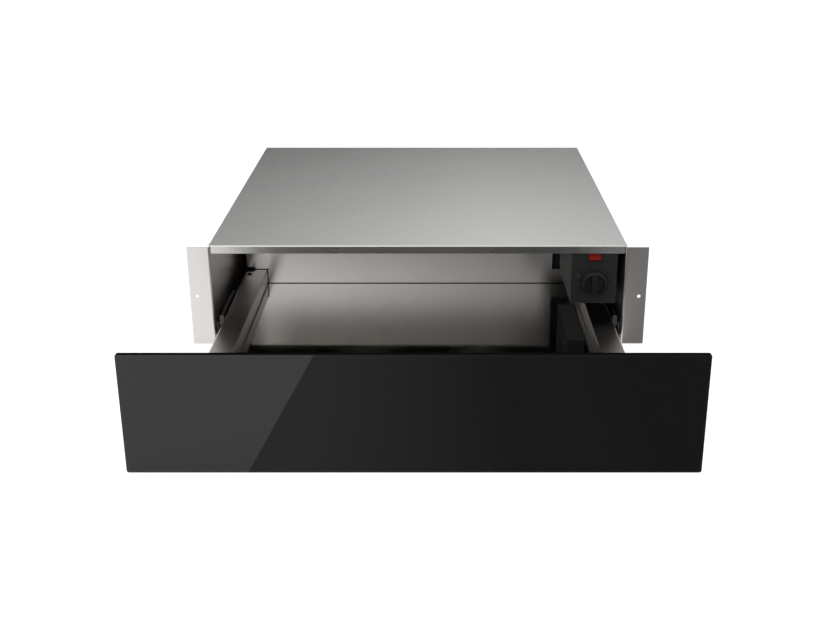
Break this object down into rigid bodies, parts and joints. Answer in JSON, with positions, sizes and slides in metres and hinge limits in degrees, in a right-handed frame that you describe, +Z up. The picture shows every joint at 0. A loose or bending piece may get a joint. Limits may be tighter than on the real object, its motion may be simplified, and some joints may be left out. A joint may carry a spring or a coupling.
{
  "type": "built-in warming drawer",
  "caption": "Low built-in warming drawer with a black glass front, a steel carcass with side mounting flanges, ball-bearing slides, a knob, a rocker switch and a fan heater.",
  "frame": {"origin": "centre of the carcass underside, half way between the mounting flanges' front plane and the rear lip of the cover", "axes": "+X to the right seen from the front, +Y to the rear, +Z up; the drawer opens along -Y and is stored 324 mm open"},
  "size_m": [0.595, 0.9062, 0.134],
  "materials": {
    "cover_steel": "brushed stainless sheet",
    "wall_steel": "satin stainless sheet",
    "zinc_sheet": "galvanised sheet",
    "rail_steel": "bright zinc plated",
    "ball_steel": "polished",
    "screw_steel": "zinc plated",
    "drawer_steel": "brushed stainless sheet",
    "front_glass": "black enamelled behind, polished in front",
    "panel_steel": "black powder coat",
    "tape_foam": "closed cell foam",
    "black_plastic": "fine moulded grain",
    "grey_plastic": "fine moulded grain",
    "knob_plastic": "satin moulded",
    "red_plastic": "tinted, moulded",
    "rubber_black": "moulded",
    "heater_foil": "foil faced",
    "fin_aluminium": "plain fins",
    "mineral_wool": "pressed felt",
    "white_plastic": "moulded",
    "brass_spindle": "turned",
    "lead_sheath": "smooth silicone sheath"
  },
  "bodies": {
    "carcass": {"top_cover": "cover_steel", "side_panel_left": "wall_steel", "side_panel_right": "wall_steel", "base_plate": "zinc_sheet", "back_panel": "zinc_sheet", "cover_screws": "screw_steel", "rail_brackets_left": "zinc_sheet", "rail_brackets_right": "zinc_sheet", "cabinet_rail_left": "rail_steel", "cabinet_rail_right": "rail_steel", "rail_bumper_left": "rubber_black", "rail_bumper_right": "rubber_black", "control_housing": "black_plastic", "control_fascia": "black_plastic", "switch_body": "black_plastic", "thermostat": "grey_plastic", "latch_body": "grey_plastic", "terminal_box": "grey_plastic", "terminal_lid": "grey_plastic", "terminal_block": "white_plastic", "inlet_gland": "rubber_black", "gland_nut": "black_plastic", "inner_lead": "lead_sheath", "lead_clips": "white_plastic"},
    "drawer": {"front_panel": "panel_steel", "glass_front": "front_glass", "bonding_tape": "tape_foam", "panel_pads": "rubber_black", "bottom_pan": "zinc_sheet", "drawer_floor": "drawer_steel", "drawer_side_left": "drawer_steel", "drawer_side_right": "drawer_steel", "drawer_rear_wall": "drawer_steel", "side_screws": "screw_steel", "drawer_rail_left": "rail_steel", "drawer_rail_right": "rail_steel", "blower_housing": "black_plastic", "fan_frame": "grey_plastic", "air_heater": "fin_aluminium", "floor_heater": "heater_foil", "floor_insulation": "mineral_wool", "thermal_cutout": "grey_plastic"},
    "knob": {"control_knob": "knob_plastic", "thermostat_spindle": "brass_spindle"},
    "rocker": {"rocker_button": "red_plastic"},
    "latch": {"latch_plunger": "white_plastic"},
    "fan": {"fan_rotor": "black_plastic"},
    "middle_left": {"middle_rail_left": "rail_steel"},
    "outer_cage_left": {"outer_cage_left": "rail_steel", "outer_balls_left": "ball_steel"},
    "inner_cage_left": {"inner_cage_left": "rail_steel", "inner_balls_left": "ball_steel"},
    "middle_right": {"middle_rail_right": "rail_steel"},
    "outer_cage_right": {"outer_cage_right": "rail_steel", "outer_balls_right": "ball_steel"},
    "inner_cage_right": {"inner_cage_right": "rail_steel", "inner_balls_right": "ball_steel"}
  },
  "joints": [
    {"name": "drawer_slide", "type": "slide", "parent": "carcass", "child": "drawer", "axis": [0, -1, 0], "range_m": [-0.324, 0.106]},
    {"name": "middle_left_slide", "type": "slide", "parent": "carcass", "child": "middle_left", "axis": [0, -1, 0], "range_m": [-0.16201, 0.05301]},
    {"name": "outer_cage_left_slide", "type": "slide", "parent": "carcass", "child": "outer_cage_left", "axis": [0, -1, 0], "range_m": [-0.08101, 0.02651]},
    {"name": "inner_cage_left_slide", "type": "slide", "parent": "carcass", "child": "inner_cage_left", "axis": [0, -1, 0], "range_m": [-0.24301, 0.07951]},
    {"name": "middle_right_slide", "type": "slide", "parent": "carcass", "child": "middle_right", "axis": [0, -1, 0], "range_m": [-0.16201, 0.05301]},
    {"name": "outer_cage_right_slide", "type": "slide", "parent": "carcass", "child": "outer_cage_right", "axis": [0, -1, 0], "range_m": [-0.08101, 0.02651]},
    {"name": "inner_cage_right_slide", "type": "slide", "parent": "carcass", "child": "inner_cage_right", "axis": [0, -1, 0], "range_m": [-0.24301, 0.07951]},
    {"name": "knob_turn", "type": "hinge", "parent": "carcass", "child": "knob", "pos_m": [0.2282, -0.2713, 0.0826], "axis": [0, 1, 0], "range_deg": [0, 270]},
    {"name": "rocker_tilt", "type": "hinge", "parent": "carcass", "child": "rocker", "pos_m": [0.2282, -0.2665, 0.1194], "axis": [1, 0, 0], "range_deg": [0, 12]},
    {"name": "latch_press", "type": "slide", "parent": "carcass", "child": "latch", "axis": [0, 1, 0], "range_m": [0, 0.005], "stiffness_N_per_m": 400, "springref_m": -0.002},
    {"name": "fan_spin", "type": "hinge", "parent": "drawer", "child": "fan", "pos_m": [0.1906, -0.3708, 0.039], "axis": [1, 0, 0], "continuous": true}
  ],
  "couplings": [
    {"joint": "middle_left_slide", "follows": "drawer_slide", "ratio": 0.5},
    {"joint": "outer_cage_left_slide", "follows": "drawer_slide", "ratio": 0.25},
    {"joint": "inner_cage_left_slide", "follows": "drawer_slide", "ratio": 0.75},
    {"joint": "middle_right_slide", "follows": "drawer_slide", "ratio": 0.5},
    {"joint": "outer_cage_right_slide", "follows": "drawer_slide", "ratio": 0.25},
    {"joint": "inner_cage_right_slide", "follows": "drawer_slide", "ratio": 0.75}
  ]
}
